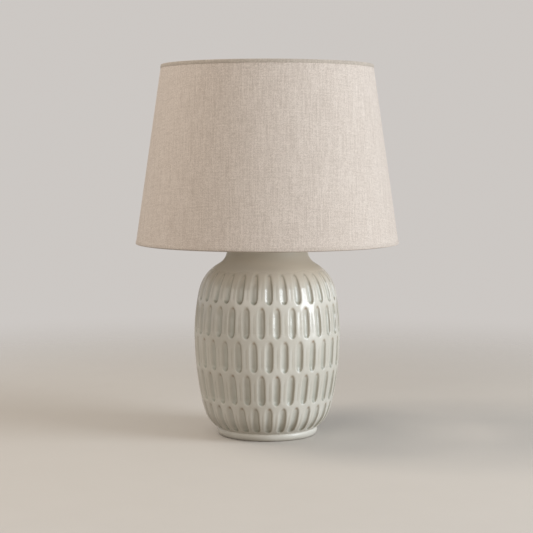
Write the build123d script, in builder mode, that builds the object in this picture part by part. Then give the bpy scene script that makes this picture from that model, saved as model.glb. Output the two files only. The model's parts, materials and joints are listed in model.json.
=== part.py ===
from build123d import *
import os
from math import cos, radians, sqrt

# Table lamp: a carved ceramic jar, brass fittings, a turn-knob socket with its bulb,
# and a tapered linen shade that hangs on a detachable harp.
# Millimetres, +Z up, -Y is the front. The origin is the centre of the felt underside.

os.makedirs("parts", exist_ok=True)

# Clearances shared by the pieces that fit together
glue_gap = 0.05
running_gap = 0.05
thread_gap = 0.1
wrap_gap = 0.2
loose_gap = 0.3

# Ceramic jar: heights are rises from the point below, so that each can change alone
foot_radius = 66.4
foot_height = 6.0
foot_width = 9.0
foot_tuck = 2.2
foot_crown = 0.3
waist_depth = 1.0
waist_height = 1.6
toe_radius = 67.0
hip_radius = 90.0
hip_rise = 42.2
belly_radius = 99.0
belly_rise = 86.7
shoulder_radius = 93.3
shoulder_rise = 58.5
throat_radius = 67.0
throat_rise = 35.4
neck_radius = 57.0
neck_length = 13.0
lip_round = 3.0
jar_wall = 6.0
floor_thickness = 6.5
hand_hole_radius = 38.0
deck_thickness = 6.0

# Carved flutes: rows of gouge strokes, each row turned half a pitch from the one below
flute_rows = 5
flute_count = 30
flute_turn = 2.0
gouge_radius = 7.0
flute_depth = 2.5
flute_fade = 0.7
flute_start = 37.0
flute_end = 5.7
flute_gap = 3.4

# Underside and cord outlet
felt_thickness = 2.0
felt_inset = 3.5
board_thickness = 3.0
outlet_run = 22.0
outlet_seat_depth = 3.0
grommet_bore = 3.2
grommet_barrel_radius = 4.5
grommet_flange_radius = 6.6
grommet_flange_thickness = 2.2
grommet_barb = 0.8
grommet_barb_length = 2.0

# Threaded nipple, its nuts and the fittings on the neck
nipple_radius = 5.1
nipple_bore = 3.4
nipple_tail = 3.0
nut_flats = 14.3
nut_height = 4.8
nut_chamfer = 0.6
washer_radius = 17.0
washer_thickness = 1.6
lock_washer_radius = 8.5
lock_washer_thickness = 1.2
gasket_radius = 25.0
gasket_thickness = 1.0
neck_cap_radius = 29.0
neck_cap_top_radius = 12.0
neck_cap_height = 8.0
neck_cap_rim = 2.0
neck_cap_wall = 1.0

# Harp: its saddle under the socket, two sleeves, the bent wire and the swivel stud
saddle_thickness = 1.6
saddle_width = 12.0
saddle_flat = 20.0
saddle_rise = 14.0
saddle_tab = 4.0
saddle_bend = 4.0
wire_radius = 1.9
leg_offset = 35.0
post_length = 7.0
sleeve_radius = 4.0
sleeve_length = 13.0
sleeve_chamfer = 0.8
harp_leg = 34.0
harp_flare_rise = 45.0
harp_side = 33.0
harp_crown_rise = 60.0
harp_half_width = 57.0
harp_top_half = 27.0
harp_flare_bend = 40.0
harp_side_bend = 50.0
harp_corner_bend = 14.0
crown_radius = 7.5
crown_height = 8.0
stud_radius = 3.1
stud_length = 12.0
stud_flange_radius = 9.5
stud_flange_thickness = 2.2
pin_radius = 2.5
pin_head_radius = 4.2
pin_head_thickness = 1.6

# Socket: spun cap and shell, insulating sleeve, switch body, screw shell and contact
hub_radius = 8.5
hub_height = 10.0
cap_wall = 0.9
collar_radius = 19.6
collar_height = 6.0
bell_height = 10.0
shell_wall = 0.6
shell_length = 43.0
shell_bead = 0.7
shell_bead_height = 2.4
insulator_wall = 0.6
insulator_inset = 1.0
switch_body_height = 19.0
switch_boss_radius = 10.0
switch_boss_height = 7.0
screw_shell_radius = 13.4
screw_shell_wall = 0.5
screw_shell_inset = 2.0
contact_width = 5.0
contact_thickness = 0.6
contact_foot = 5.0
contact_slope = 2.5
contact_lift = 2.0
contact_tongue = 3.5
set_screw_radius = 1.6
set_screw_stand = 1.5
terminal_flat = 14.4
terminal_drop = 9.0
terminal_head_radius = 3.2
terminal_head_thickness = 1.8
terminal_shank_radius = 1.7
terminal_shank_length = 5.0

# Switch spindle and knob
spindle_radius = 2.0
spindle_root = 9.0
spindle_height = 9.5
spindle_hole_radius = 3.4
knob_stand = 4.5
knob_radius = 7.0
knob_length = 17.0
knob_wall = 3.0
knob_edge = 1.0
knob_flute_count = 12
knob_flute_radius = 1.1
knob_skirt = 4.0

# Bulb: globe, housing and screw base
bulb_screw_radius = 13.15
bulb_screw_length = 20.0
bulb_cap_wall = 0.8
bulb_insulator_height = 4.0
bulb_insulator_spigot = 2.0
bulb_insulator_rim = 1.2
bulb_tip_radius = 4.6
bulb_tip_height = 1.6
bulb_neck_radius = 13.9
bulb_housing_height = 37.0
bulb_housing_wall = 2.4
bulb_spigot = 6.0
globe_radius = 30.0
globe_joint_radius = 24.0
globe_wall = 1.2
led_plate_thickness = 1.6

# Shade: a cone of linen on a stiff liner, two wire rings and their edge tapes
shade_bottom_radius = 177.5
shade_top_radius = 142.5
shade_height = 238.8
linen_thickness = 0.7
liner_thickness = 0.8
ring_radius = 1.7
tape_thickness = 0.6
hem_depth = 5.5
spider_drop = 20.4
spoke_count = 3
spoke_radius = 1.6
spoke_shelf = 12.0
spoke_bend = 20.0
spoke_landing = 12.0
spoke_lap = 2.0
seat_washer_radius = 13.0
seat_washer_thickness = 1.6

# Finial: a turned base with a ball on it
finial_flange_radius = 8.0
finial_flange_height = 2.2
finial_neck_radius = 5.6
finial_base_height = 6.0
finial_ball_radius = 7.0
finial_ball_height = 11.0
finial_bore_spare = 1.0

UPWARD = (Align.CENTER, Align.CENTER, Align.MIN)
DOWNWARD = (Align.CENTER, Align.CENTER, Align.MAX)


def ring(outer, inner, height):
    """A washer standing on the workplane."""
    Cylinder(outer, height, align=UPWARD)
    Hole(inner)


# Ceramic jar: in its section, X is the radius and Y the height above the table.
# The outline is a chain of tangent arcs from the neck down to the toe.
foot_z = felt_thickness
waist_z = foot_z + foot_height
toe_z = waist_z + waist_height
hip_z = toe_z + hip_rise
belly_z = hip_z + belly_rise
shoulder_z = belly_z + shoulder_rise
throat_z = shoulder_z + throat_rise

with BuildLine() as jar_line:
    lower_belly = TangentArc((belly_radius, belly_z), (hip_radius, hip_z), tangent=(0, -1))
    heel = TangentArc(lower_belly @ 1, (toe_radius, toe_z), tangent=lower_belly % 1)
    upper_belly = TangentArc((belly_radius, belly_z), (shoulder_radius, shoulder_z), tangent=(0, 1))
    shoulder = TangentArc(upper_belly @ 1, (throat_radius, throat_z), tangent=upper_belly % 1)
    throat_angle = (shoulder % 1).get_angle(Vector(0, 1))
    throat_round = (throat_radius - neck_radius) / (1 - cos(radians(throat_angle)))
    collar = JernArc(shoulder @ 1, shoulder % 1, throat_round, -throat_angle)

# The first arc of the wire runs down to the toe, so lengths along it start at the neck
outline = Wire([arc.edge() for arc in (heel, lower_belly, upper_belly, shoulder, collar)])
neck_z = (collar @ 1).Y
jar_top_z = neck_z + neck_length
deck_z = jar_top_z - deck_thickness
recess_z = foot_z + board_thickness + glue_gap
floor_z = recess_z + floor_thickness
foot_inner_radius = foot_radius - foot_width
nipple_hole_radius = nipple_radius + loose_gap


def on_jar(run):
    """Point and outward normal of the outline, a length along it below the neck."""
    point = outline.position_at(run, PositionMode.LENGTH)
    slope = outline.tangent_at(run, PositionMode.LENGTH)
    return point, Vector(-slope.Y, slope.X)


# The inside of the wall follows the outline at a steady thickness
inner_stations = 8
inner_points = []
for station in range(inner_stations):
    wall_point, wall_normal = on_jar(outline.length * station / inner_stations)
    inner_points.append(wall_point - wall_normal * jar_wall)
inner_points.append(Vector(toe_radius - jar_wall, floor_z))

flute_span = outline.length - flute_start - flute_end
flute_length = (flute_span - flute_gap * (flute_rows - 1)) / flute_rows
flute_half_width = sqrt(gouge_radius**2 - (gouge_radius - flute_depth) ** 2)


def gouge(row):
    """The stroke that carves one flute: a round tool run along the outline."""
    top_run = flute_start + row * (flute_length + flute_gap) + flute_half_width
    end_run = top_run + flute_length - 2 * flute_half_width
    top_depth = flute_fade if row == 0 else flute_depth
    strokes = ((top_run, top_depth), ((top_run + end_run) / 2, flute_depth), (end_run, flute_depth))
    centres = []
    for run, depth in strokes:
        point, normal = on_jar(run)
        centre = point + normal * (gouge_radius - depth)
        centres.append((centre.X, centre.Y))
    with BuildPart() as tool:
        with BuildLine(Plane.XZ) as stroke:
            ThreePointArc(*centres)
        with BuildSketch(Plane(origin=stroke.line @ 0, z_dir=stroke.line % 0)):
            Circle(gouge_radius)
        sweep()
        with Locations(stroke.line @ 0, stroke.line @ 1):
            Sphere(gouge_radius)
    return tool.part


gouges = [gouge(row) for row in range(flute_rows)]

# The cord outlet is bored square to the wall, low on the back
outlet_point, outlet_normal = on_jar(outline.length - outlet_run)
outlet_plane = Plane(
    origin=(0, outlet_point.X, outlet_point.Y),
    x_dir=(1, 0, 0),
    z_dir=(0, outlet_normal.X, outlet_normal.Y),
)

with BuildPart() as ceramic_body:
    with BuildSketch(Plane.XZ):
        with BuildLine():
            top = Line((nipple_hole_radius, jar_top_z), (neck_radius - lip_round, jar_top_z))
            lip = TangentArc(top @ 1, (neck_radius, jar_top_z - lip_round), tangent=(1, 0))
            Line(lip @ 1, (neck_radius, neck_z))
            add(outline)
            waist = SagittaArc((toe_radius, toe_z), (foot_radius, waist_z), waist_depth)
            band = ThreePointArc(
                waist @ 1,
                (foot_radius + foot_crown, foot_z + foot_height / 2),
                (foot_radius - foot_tuck, foot_z),
            )
            Polyline(
                band @ 1,
                (foot_inner_radius, foot_z),
                (foot_inner_radius, recess_z),
                (hand_hole_radius, recess_z),
                (hand_hole_radius, floor_z),
                (toe_radius - jar_wall, floor_z),
            )
            Spline(*inner_points[::-1], tangents=[(1, 1), (0, 1)])
            Polyline(
                (neck_radius - jar_wall, neck_z),
                (neck_radius - jar_wall, deck_z),
                (nipple_hole_radius, deck_z),
                (nipple_hole_radius, jar_top_z),
            )
        make_face()
    revolve(axis=Axis.Z)
    for row, tool in enumerate(gouges):
        row_turn = flute_turn + 180 / flute_count * (row % 2) - 90
        with PolarLocations(0, flute_count, start_angle=row_turn):
            add(tool, mode=Mode.SUBTRACT)
    with Locations(outlet_plane):
        CounterBoreHole(
            grommet_barrel_radius + running_gap,
            grommet_flange_radius + loose_gap,
            outlet_seat_depth,
            depth=jar_wall + grommet_barb_length,
        )

# Underside: felt on the foot ring, and a board that closes the hand hole
with BuildPart() as felt_pad:
    Cylinder(foot_radius - felt_inset, felt_thickness, align=UPWARD)

with BuildPart(Plane.XY.offset(recess_z)) as base_board:
    Cylinder(foot_inner_radius - loose_gap, board_thickness, align=DOWNWARD)

# Rubber grommet in the cord outlet: a flange in its seat, a barrel and a barbed end
with BuildPart(outlet_plane.offset(-outlet_seat_depth)) as cord_grommet:
    barrel_length = jar_wall - outlet_seat_depth + loose_gap
    Cylinder(grommet_flange_radius, grommet_flange_thickness, align=UPWARD)
    fillet(cord_grommet.edges().group_by(Axis.Y)[-1], grommet_flange_thickness / 3)
    Cylinder(grommet_barrel_radius, barrel_length, align=DOWNWARD)
    with Locations((0, 0, -barrel_length)):
        Cone(
            grommet_barrel_radius - grommet_barb / 2,
            grommet_barrel_radius + grommet_barb,
            grommet_barb_length,
            align=DOWNWARD,
        )
    Hole(grommet_bore)

# Nipple through the deck, clamped by a washer, a lock washer and a nut from inside
washer_z = deck_z - washer_thickness
lock_washer_z = washer_z - lock_washer_thickness
lower_nut_z = lock_washer_z - nut_height
gasket_z = jar_top_z
neck_cap_z = gasket_z + gasket_thickness
upper_nut_z = neck_cap_z + neck_cap_height
saddle_z = upper_nut_z + nut_height
socket_z = saddle_z + saddle_thickness
nipple_bottom_z = lower_nut_z - nipple_tail
nipple_top_z = socket_z + hub_height
nut_hole_radius = nipple_radius + thread_gap

with BuildPart(Plane.XY.offset(nipple_bottom_z)) as nipple:
    ring(nipple_radius, nipple_bore, nipple_top_z - nipple_bottom_z)

with BuildPart(Plane.XY.offset(washer_z)) as deck_washer:
    ring(washer_radius, nipple_hole_radius, washer_thickness)

with BuildPart(Plane.XY.offset(lock_washer_z)) as lock_washer:
    ring(lock_washer_radius, nipple_hole_radius, lock_washer_thickness)


def hex_nut(bottom_z):
    """A hexagon nut on the nipple, with its corners chamfered at both ends."""
    with BuildPart(Plane.XY.offset(bottom_z)) as nut:
        Cylinder(nut_flats / sqrt(3), nut_height, align=UPWARD)
        chamfer(nut.edges().filter_by(GeomType.CIRCLE), nut_chamfer)
        with BuildSketch(Plane.XY.offset(bottom_z)):
            RegularPolygon(nut_flats / 2, 6, major_radius=False)
        extrude(amount=nut_height, mode=Mode.INTERSECT)
        Hole(nut_hole_radius)
    return nut


lower_nut = hex_nut(lower_nut_z)
upper_nut = hex_nut(upper_nut_z)

# Neck fittings: a gasket, and a spun brass cap over it
with BuildPart(Plane.XY.offset(gasket_z)) as neck_gasket:
    ring(gasket_radius, nipple_hole_radius, gasket_thickness)

with BuildPart() as neck_cap:
    with BuildSketch(Plane.XZ):
        with BuildLine():
            Polyline(
                (0, upper_nut_z),
                (0, neck_cap_z),
                (neck_cap_radius, neck_cap_z),
                (neck_cap_radius, neck_cap_z + neck_cap_rim),
            )
            EllipticalCenterArc(
                (neck_cap_top_radius, neck_cap_z + neck_cap_rim),
                neck_cap_radius - neck_cap_top_radius,
                neck_cap_height - neck_cap_rim,
                start_angle=0,
                arc_size=90,
            )
            Line((neck_cap_top_radius, upper_nut_z), (0, upper_nut_z))
        make_face()
    revolve(axis=Axis.Z)
    offset(amount=-neck_cap_wall, openings=neck_cap.faces().sort_by(Axis.Z)[0])
    with Locations((0, 0, upper_nut_z)):
        Hole(nipple_hole_radius)

# Harp saddle: a strip bent up at both ends, each end with a round post
post_base_z = saddle_z + saddle_rise + saddle_tab
post_top_z = post_base_z + post_length
tab_offset = leg_offset + saddle_thickness / 2

with BuildPart() as harp_saddle:
    with BuildLine(Plane.XZ):
        FilletPolyline(
            (-tab_offset, post_base_z),
            (-tab_offset, saddle_z + saddle_rise),
            (-saddle_flat, saddle_z),
            (saddle_flat, saddle_z),
            (tab_offset, saddle_z + saddle_rise),
            (tab_offset, post_base_z),
            radius=saddle_bend,
        )
    make_brake_formed(saddle_thickness, saddle_width, side=Side.RIGHT)
    with Locations((-leg_offset, 0, post_top_z), (leg_offset, 0, post_top_z)):
        Cylinder(wire_radius, post_length + saddle_tab, align=DOWNWARD)
    with Locations((0, 0, saddle_z)):
        Hole(nipple_hole_radius)


def harp_sleeve(offset_x):
    """A brass sleeve that slides on a leg and locks it to the saddle's post."""
    with BuildPart(Plane.XY.offset(post_base_z)) as sleeve:
        with Locations((offset_x, 0)):
            Cylinder(sleeve_radius, sleeve_length, align=UPWARD)
            chamfer(sleeve.edges().filter_by(GeomType.CIRCLE), sleeve_chamfer)
            Hole(wire_radius + running_gap)
    return sleeve


harp_sleeve_left = harp_sleeve(-leg_offset)
harp_sleeve_right = harp_sleeve(leg_offset)

# Harp wire: straight legs, bowed sides and a crown with the swivel hole
flare_z = post_top_z + harp_leg
bow_z = flare_z + harp_flare_rise
side_z = bow_z + harp_side
crown_z = side_z + harp_crown_rise
crown_top_z = crown_z + crown_height / 2
seat_z = crown_top_z + stud_flange_thickness
harp_side_line = (
    (leg_offset, post_top_z),
    (leg_offset, flare_z),
    (harp_half_width, bow_z),
    (harp_half_width, side_z),
    (harp_top_half, crown_z),
)
harp_bends = (harp_flare_bend, harp_side_bend, harp_side_bend, harp_corner_bend)

with BuildPart() as harp_wire:
    with BuildLine(Plane.XZ) as harp_path:
        FilletPolyline(
            *harp_side_line,
            *[(-x, z) for x, z in harp_side_line[::-1]],
            radius=(*harp_bends, *harp_bends[::-1]),
        )
    with BuildSketch(Plane(origin=harp_path.line @ 0, z_dir=harp_path.line % 0)):
        Circle(wire_radius)
    sweep()
    with Locations((0, 0, crown_z)):
        Cylinder(crown_radius, crown_height)
        Hole(pin_radius + running_gap)

# Swivel stud: its pin turns in the crown, its flange carries the shade
stud_top_z = seat_z + stud_length
pin_head_z = crown_top_z - crown_height - running_gap

with BuildPart() as harp_stud:
    with Locations((0, 0, stud_top_z)):
        Cylinder(stud_radius, stud_length, align=DOWNWARD)
    with Locations((0, 0, crown_top_z)):
        Cylinder(stud_flange_radius, stud_flange_thickness, align=UPWARD)
        Cylinder(pin_radius, crown_top_z - pin_head_z, align=DOWNWARD)
    with Locations((0, 0, pin_head_z)):
        Cylinder(pin_head_radius, pin_head_thickness, align=DOWNWARD)
    chamfer(harp_stud.edges().group_by(Axis.Z)[-1], stud_radius / 4)

# Socket cap: a threaded hub that opens into a bowl with a straight collar
bell_z = socket_z + hub_height
collar_z = bell_z + bell_height
socket_cap_top_z = collar_z + collar_height
collar_bore = collar_radius - cap_wall
screw_plane = Plane(origin=(0, 0, socket_z + hub_height / 2), z_dir=(0, 1, 0))


def bowl(radius, bottom_z):
    """Outline of the bowl and collar, up to the collar's top."""
    with BuildLine() as line:
        Line((0, bottom_z), (hub_radius, bottom_z))
        EllipticalCenterArc(
            (hub_radius, collar_z), radius - hub_radius, collar_z - bottom_z, start_angle=270, arc_size=90
        )
        Polyline((radius, collar_z), (radius, socket_cap_top_z), (0, socket_cap_top_z), (0, bottom_z))
    return line.line


with BuildPart() as socket_cap:
    with BuildSketch(Plane.XZ):
        make_face(bowl(collar_radius, bell_z).edges())
    revolve(axis=Axis.Z)
    with Locations((0, 0, bell_z + cap_wall)):
        Cylinder(hub_radius, hub_height + cap_wall, align=DOWNWARD)
    with BuildSketch(Plane.XZ):
        make_face(bowl(collar_bore, bell_z + cap_wall).edges())
    revolve(axis=Axis.Z, mode=Mode.SUBTRACT)
    with Locations((0, 0, bell_z)):
        Hole(nut_hole_radius)
    with Locations(screw_plane.offset(hub_radius)):
        Hole(set_screw_radius + thread_gap, depth=hub_radius - nipple_radius)

with BuildPart(screw_plane.offset(nipple_radius + thread_gap)) as set_screw:
    Cylinder(set_screw_radius, hub_radius - nipple_radius - thread_gap + set_screw_stand, align=UPWARD)

# Socket shell: a thin tube in the collar, with a rolled bead and a hole for the spindle
shell_radius = collar_bore - running_gap
shell_bore = shell_radius - shell_wall
shell_top_z = collar_z + shell_length
bead_z = shell_top_z - shell_bead_height
spindle_z = collar_z + spindle_height
front_plane = Plane(origin=(0, 0, spindle_z), x_dir=(1, 0, 0), z_dir=(0, -1, 0))

with BuildPart() as socket_shell:
    with BuildSketch(Plane.XZ):
        with BuildLine():
            ThreePointArc(
                (shell_radius, bead_z),
                (shell_radius + shell_bead, (bead_z + shell_top_z) / 2),
                (shell_radius, shell_top_z),
            )
            Polyline(
                (shell_radius, shell_top_z),
                (shell_bore, shell_top_z),
                (shell_bore, collar_z),
                (shell_radius, collar_z),
                (shell_radius, bead_z),
            )
        make_face()
    revolve(axis=Axis.Z)
    with Locations(front_plane.offset(shell_radius + shell_bead)):
        Hole(spindle_hole_radius, depth=shell_radius)

# Insulating sleeve of fibre board inside the shell
insulator_radius = shell_bore - glue_gap
insulator_bore = insulator_radius - insulator_wall
insulator_z = collar_z + insulator_inset

with BuildPart() as socket_insulator:
    with Locations((0, 0, insulator_z)):
        ring(insulator_radius, insulator_bore, shell_top_z - insulator_inset - insulator_z)
    with Locations(front_plane.offset(shell_radius)):
        Hole(spindle_hole_radius, depth=shell_radius)

# Switch body: a moulded block with a boss below, terminal flats and the spindle's bore
switch_radius = insulator_bore - loose_gap
switch_top_z = collar_z + switch_body_height
terminal_z = switch_top_z - terminal_drop

with BuildPart() as switch_body:
    with Locations((0, 0, collar_z)):
        Cylinder(switch_radius, switch_body_height, align=UPWARD)
        Cylinder(switch_boss_radius, switch_boss_height, align=DOWNWARD)
    with Locations((terminal_flat, 0, terminal_z), (-terminal_flat - switch_radius, 0, terminal_z)):
        Box(
            switch_radius,
            2 * switch_radius,
            2 * terminal_head_radius + 2 * loose_gap,
            align=(Align.MIN, Align.CENTER, Align.CENTER),
            mode=Mode.SUBTRACT,
        )
    with Locations(Plane(origin=(0, 0, terminal_z), z_dir=(1, 0, 0))):
        Hole(terminal_shank_radius + thread_gap)
    with Locations(front_plane.offset(shell_radius)):
        Hole(spindle_radius + running_gap, depth=shell_radius - spindle_root + loose_gap)

with BuildPart() as terminal_screws:
    for side in (1, -1):
        with Locations(Plane(origin=(side * terminal_flat, 0, terminal_z), z_dir=(side, 0, 0))):
            Cylinder(terminal_head_radius, terminal_head_thickness, align=UPWARD)
            Cylinder(terminal_shank_radius, terminal_shank_length, align=DOWNWARD)

# Screw shell and the sprung centre contact
with BuildPart(Plane.XY.offset(switch_top_z)) as screw_shell:
    ring(
        screw_shell_radius + screw_shell_wall,
        screw_shell_radius,
        shell_top_z - screw_shell_inset - switch_top_z,
    )

contact_top_z = switch_top_z + contact_lift + contact_thickness
with BuildPart() as centre_contact:
    with BuildLine(Plane.XZ):
        Polyline(
            (contact_tongue, switch_top_z + contact_lift),
            (0, switch_top_z + contact_lift),
            (-contact_slope, switch_top_z),
            (-contact_foot - contact_slope, switch_top_z),
        )
    make_brake_formed(contact_thickness, contact_width)

# Switch spindle and its fluted knob, on an axis that points to the front
knob_face = shell_radius + knob_stand
knob_seat_radius = spindle_radius + running_gap

with BuildPart(front_plane.offset(spindle_root)) as switch_spindle:
    Cylinder(spindle_radius, knob_face + knob_length - knob_wall - spindle_root, align=UPWARD)

with BuildPart(front_plane.offset(knob_face)) as switch_knob:
    Cylinder(knob_radius, knob_length, align=UPWARD)
    fillet(switch_knob.faces().sort_by(Axis.Y)[0].edges(), knob_edge)
    with Locations((0, 0, knob_skirt)):
        with PolarLocations(knob_radius, knob_flute_count):
            Cylinder(knob_flute_radius, knob_length, align=UPWARD, mode=Mode.SUBTRACT)
    with Locations((0, 0, knob_length - knob_wall)):
        Hole(knob_seat_radius, depth=knob_length)

# Bulb: contact tip, glass insulator, screw cap, housing, light board and globe
bulb_z = contact_top_z + loose_gap
bulb_insulator_z = bulb_z + bulb_tip_height
bulb_cap_z = bulb_insulator_z + bulb_insulator_height
housing_z = bulb_cap_z + bulb_screw_length
globe_z = housing_z + bulb_housing_height
bulb_cap_bore = bulb_screw_radius - bulb_cap_wall
bulb_spigot_radius = bulb_cap_bore - glue_gap
globe_rise = sqrt(globe_radius**2 - globe_joint_radius**2)
globe_bore = globe_radius - globe_wall

with BuildPart(Plane.XY.offset(bulb_z)) as bulb_tip:
    Cylinder(bulb_tip_radius, bulb_tip_height, align=UPWARD)
    fillet(bulb_tip.edges().sort_by(Axis.Z)[0], bulb_tip_height / 2)

with BuildPart(Plane.XY.offset(bulb_cap_z)) as bulb_insulator:
    Cone(
        bulb_tip_radius + bulb_insulator_rim,
        bulb_spigot_radius,
        bulb_insulator_height,
        align=DOWNWARD,
    )
    Cylinder(bulb_spigot_radius, bulb_insulator_spigot, align=UPWARD)

with BuildPart(Plane.XY.offset(bulb_cap_z)) as bulb_screw_cap:
    ring(bulb_screw_radius, bulb_cap_bore, bulb_screw_length)


def housing_side(inset):
    """One side of the housing wall, from the neck to the globe's joint."""
    return Spline(
        (bulb_neck_radius - inset, housing_z),
        (globe_joint_radius - inset, globe_z),
        tangents=[(0, 1), (globe_rise, globe_joint_radius)],
    )


with BuildPart() as bulb_housing:
    with BuildSketch(Plane.XZ):
        with BuildLine():
            outside = housing_side(0)
            inside = housing_side(bulb_housing_wall)
            Line(outside @ 1, inside @ 1)
            Polyline(
                inside @ 0,
                (bulb_neck_radius - bulb_housing_wall, housing_z - bulb_spigot),
                (bulb_spigot_radius, housing_z - bulb_spigot),
                (bulb_spigot_radius, housing_z),
                outside @ 0,
            )
        make_face()
    revolve(axis=Axis.Z)

with BuildPart(Plane.XY.offset(globe_z)) as bulb_light_board:
    board_radius = sqrt(globe_bore**2 - globe_rise**2) - loose_gap
    Cylinder(board_radius, led_plate_thickness, align=UPWARD)

with BuildPart(Plane.XY.offset(globe_z + globe_rise)) as bulb_globe:
    Sphere(globe_radius)
    Sphere(globe_bore, mode=Mode.SUBTRACT)
    split(bisect_by=Plane.XY.offset(globe_z), keep=Keep.TOP)

# Shade: in each edge's plane, X points out of the cloth and Y past the edge
shade_top_z = seat_z + spider_drop
shade_bottom_z = shade_top_z - shade_height
shade_taper = shade_bottom_radius - shade_top_radius
shade_slant = sqrt(shade_height**2 + shade_taper**2)
shade_layers = linen_thickness + glue_gap + liner_thickness
ring_inset = shade_layers + glue_gap + ring_radius
top_edge = Plane(
    origin=(shade_top_radius, 0, shade_top_z),
    x_dir=(shade_height, 0, shade_taper),
    z_dir=(0, -1, 0),
)
bottom_edge = Plane(
    origin=(shade_bottom_radius, 0, shade_bottom_z),
    x_dir=(shade_height, 0, shade_taper),
    z_dir=(0, 1, 0),
)
top_ring_centre = top_edge.from_local_coords(Vector(-ring_inset, -ring_radius, 0))
bottom_ring_centre = bottom_edge.from_local_coords(Vector(-ring_inset, -ring_radius, 0))

with BuildPart() as shade_linen:
    with BuildSketch(top_edge):
        Rectangle(linen_thickness, shade_slant, align=(Align.MAX, Align.MAX))
    revolve(axis=Axis.Z)

with BuildPart() as shade_liner:
    with BuildSketch(top_edge):
        with Locations((-linen_thickness - glue_gap, 0)):
            Rectangle(liner_thickness, shade_slant, align=(Align.MAX, Align.MAX))
    revolve(axis=Axis.Z)


def spoke(radius):
    """One wire arm of the spider, from the ring's centre in to the seat washer."""
    hub_z = seat_z + seat_washer_thickness / 2
    with BuildPart() as arm:
        with BuildLine(Plane.XZ) as arm_path:
            FilletPolyline(
                (top_ring_centre.X, top_ring_centre.Z),
                (top_ring_centre.X - spoke_shelf, top_ring_centre.Z),
                (seat_washer_radius + spoke_landing, hub_z),
                (seat_washer_radius - spoke_lap, hub_z),
                radius=spoke_bend,
            )
        with BuildSketch(Plane(origin=arm_path.line @ 0, z_dir=arm_path.line % 0)):
            Circle(radius)
        sweep()
    return arm.part


spider_arm = spoke(spoke_radius)
arm_notch = spoke(spoke_radius + loose_gap)

with BuildPart() as shade_spider:
    with Locations((0, 0, top_ring_centre.Z)):
        Torus(top_ring_centre.X, ring_radius)
    with PolarLocations(0, spoke_count, start_angle=90):
        add(spider_arm)
    with Locations((0, 0, seat_z)):
        Cylinder(seat_washer_radius, seat_washer_thickness, align=UPWARD)
        Hole(stud_radius + loose_gap)

with BuildPart() as shade_bottom_ring:
    with Locations((0, 0, bottom_ring_centre.Z)):
        Torus(bottom_ring_centre.X, ring_radius)


def hem(edge_plane):
    """Section of the tape that is folded round the cloth, the liner and the ring."""
    with BuildSketch(edge_plane) as core:
        Rectangle(shade_layers, hem_depth, align=(Align.MAX, Align.MAX))
        with Locations((-ring_inset, -ring_radius)):
            Circle(ring_radius + loose_gap)
        make_hull()
    with BuildSketch(edge_plane) as tape:
        offset(core.sketch_local, wrap_gap + tape_thickness, kind=Kind.INTERSECTION, mode=Mode.ADD)
        offset(core.sketch_local, wrap_gap, kind=Kind.INTERSECTION, mode=Mode.SUBTRACT)
        with Locations((0, -hem_depth)):
            Rectangle(4 * ring_inset, hem_depth, align=(Align.CENTER, Align.MAX), mode=Mode.SUBTRACT)
    return tape.sketch


with BuildPart() as shade_top_tape:
    add(hem(top_edge))
    revolve(axis=Axis.Z)
    with PolarLocations(0, spoke_count, start_angle=90):
        add(arm_notch, mode=Mode.SUBTRACT)

with BuildPart() as shade_bottom_tape:
    add(hem(bottom_edge))
    revolve(axis=Axis.Z)

# Finial: a turned base that screws on to the stud, with a ball on top
finial_z = seat_z + seat_washer_thickness
ball_z = finial_z + finial_base_height
stud_hole_radius = stud_radius + thread_gap

with BuildPart(Plane.XY.offset(finial_z)) as finial_base:
    Cylinder(finial_flange_radius, finial_flange_height, align=UPWARD)
    fillet(finial_base.edges().group_by(Axis.Z)[-1], finial_flange_height / 3)
    Cylinder(finial_neck_radius, finial_base_height, align=UPWARD)
    Hole(stud_hole_radius)

with BuildPart() as finial_ball:
    with Locations((0, 0, ball_z + finial_ball_height - finial_ball_radius)):
        Sphere(finial_ball_radius)
    split(bisect_by=Plane.XY.offset(ball_z), keep=Keep.TOP)
    with Locations((0, 0, stud_top_z + finial_bore_spare)):
        Hole(stud_hole_radius, depth=stud_length)

pieces = {
    "ceramic_body": ceramic_body,
    "felt_pad": felt_pad,
    "base_board": base_board,
    "cord_grommet": cord_grommet,
    "nipple": nipple,
    "deck_washer": deck_washer,
    "lock_washer": lock_washer,
    "lower_nut": lower_nut,
    "neck_gasket": neck_gasket,
    "neck_cap": neck_cap,
    "upper_nut": upper_nut,
    "harp_saddle": harp_saddle,
    "socket_cap": socket_cap,
    "set_screw": set_screw,
    "socket_shell": socket_shell,
    "socket_insulator": socket_insulator,
    "switch_body": switch_body,
    "terminal_screws": terminal_screws,
    "screw_shell": screw_shell,
    "centre_contact": centre_contact,
    "switch_spindle": switch_spindle,
    "switch_knob": switch_knob,
    "bulb_tip": bulb_tip,
    "bulb_insulator": bulb_insulator,
    "bulb_screw_cap": bulb_screw_cap,
    "bulb_housing": bulb_housing,
    "bulb_light_board": bulb_light_board,
    "bulb_globe": bulb_globe,
    "harp_wire": harp_wire,
    "harp_sleeve_left": harp_sleeve_left,
    "harp_sleeve_right": harp_sleeve_right,
    "harp_stud": harp_stud,
    "shade_spider": shade_spider,
    "shade_bottom_ring": shade_bottom_ring,
    "shade_liner": shade_liner,
    "shade_linen": shade_linen,
    "shade_top_tape": shade_top_tape,
    "shade_bottom_tape": shade_bottom_tape,
    "finial_base": finial_base,
    "finial_ball": finial_ball,
}
for name, piece in pieces.items():
    piece.part.label = name
    export_step(piece.part, f"parts/{name}.step")
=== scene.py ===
import bmesh
import bpy
import json
from math import acos, atan2, ceil, cos, hypot, pi, radians, sin, tau
from mathutils import Matrix, Vector, noise


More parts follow.
